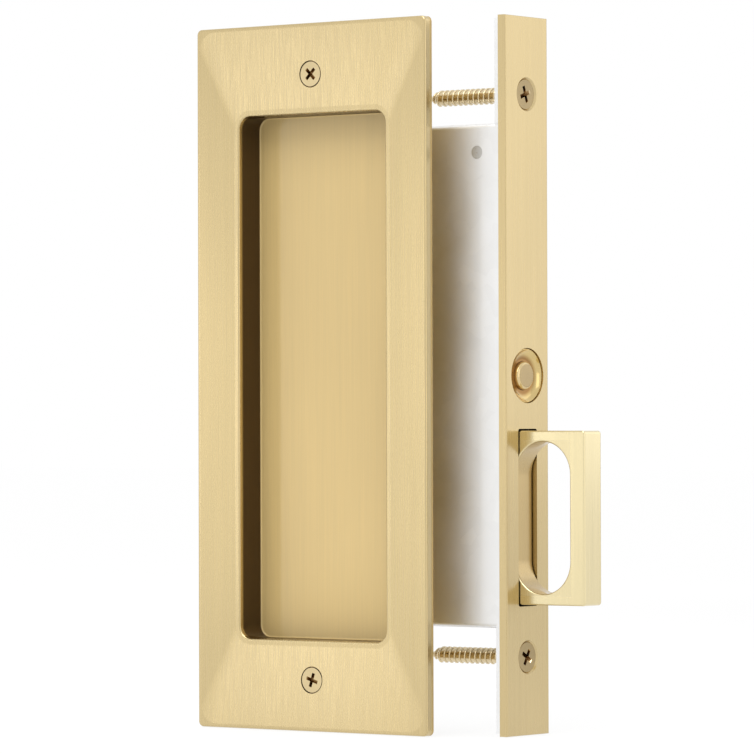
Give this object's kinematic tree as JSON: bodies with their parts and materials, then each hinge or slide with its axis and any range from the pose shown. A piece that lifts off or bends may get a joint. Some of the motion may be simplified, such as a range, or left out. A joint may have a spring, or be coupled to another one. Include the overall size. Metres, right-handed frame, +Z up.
{
  "type": "pocket door mortise lock",
  "caption": "Pocket door lock: a trim plate with a finger recess, and an edge front with a release button and a loop pull that springs out of the door edge on a carriage in the case.",
  "frame": {"origin": "on the seat in the door edge, at the middle of the front", "axes": "+X out of the door edge, the way the pull slides out; +Z up; the trim plate is on the -Y face"},
  "size_m": [0.1171, 0.031, 0.1906],
  "materials": {
    "satin_brass": "satin, brushed upright",
    "brass_screw": "satin, turned",
    "zinc_plated_steel": "bright zinc plate",
    "plain_steel": "plain, oiled",
    "spring_wire": "drawn wire",
    "bronze_bush": "turned"
  },
  "bodies": {
    "lock": {"trim_plate": "satin_brass", "trim_screws": "brass_screw", "front_plate": "satin_brass", "front_screws": "brass_screw", "case_tray": "zinc_plated_steel", "case_cover": "zinc_plated_steel", "corner_posts": "plain_steel", "cover_screws": "zinc_plated_steel", "guide_posts": "plain_steel", "guide_spacers": "plain_steel", "button_collar": "satin_brass", "collar_nut": "brass_screw", "stem_guide": "zinc_plated_steel", "button_spring": "spring_wire", "catch_post": "plain_steel", "spring_stop": "plain_steel", "eject_spring": "spring_wire"},
    "pull": {"edge_pull": "satin_brass", "pull_carriage": "plain_steel", "carriage_rivets": "brass_screw"},
    "button": {"release_button": "satin_brass", "button_stem": "plain_steel", "stem_pin": "plain_steel"},
    "catch": {"catch_lever": "plain_steel", "catch_bush": "bronze_bush"}
  },
  "joints": [
    {"name": "pull_slide", "type": "slide", "parent": "lock", "child": "pull", "axis": [1, 0, 0], "range_m": [-0.021, 0], "stiffness_N_per_m": 120, "springref_m": 0.012, "deforming": ["eject_spring"]},
    {"name": "button_press", "type": "slide", "parent": "lock", "child": "button", "axis": [1, 0, 0], "range_m": [-0.0022, 0], "stiffness_N_per_m": 400, "springref_m": 0.002, "deforming": ["button_spring"]},
    {"name": "catch_pivot", "type": "hinge", "parent": "lock", "child": "catch", "pos_m": [-0.0375, 0, -0.0086], "axis": [0, 1, 0], "range_deg": [-14.6, 0]}
  ],
  "couplings": [
    {"joint": "catch_pivot", "follows": "button_press", "rad_per_m": 115.65}
  ]
}
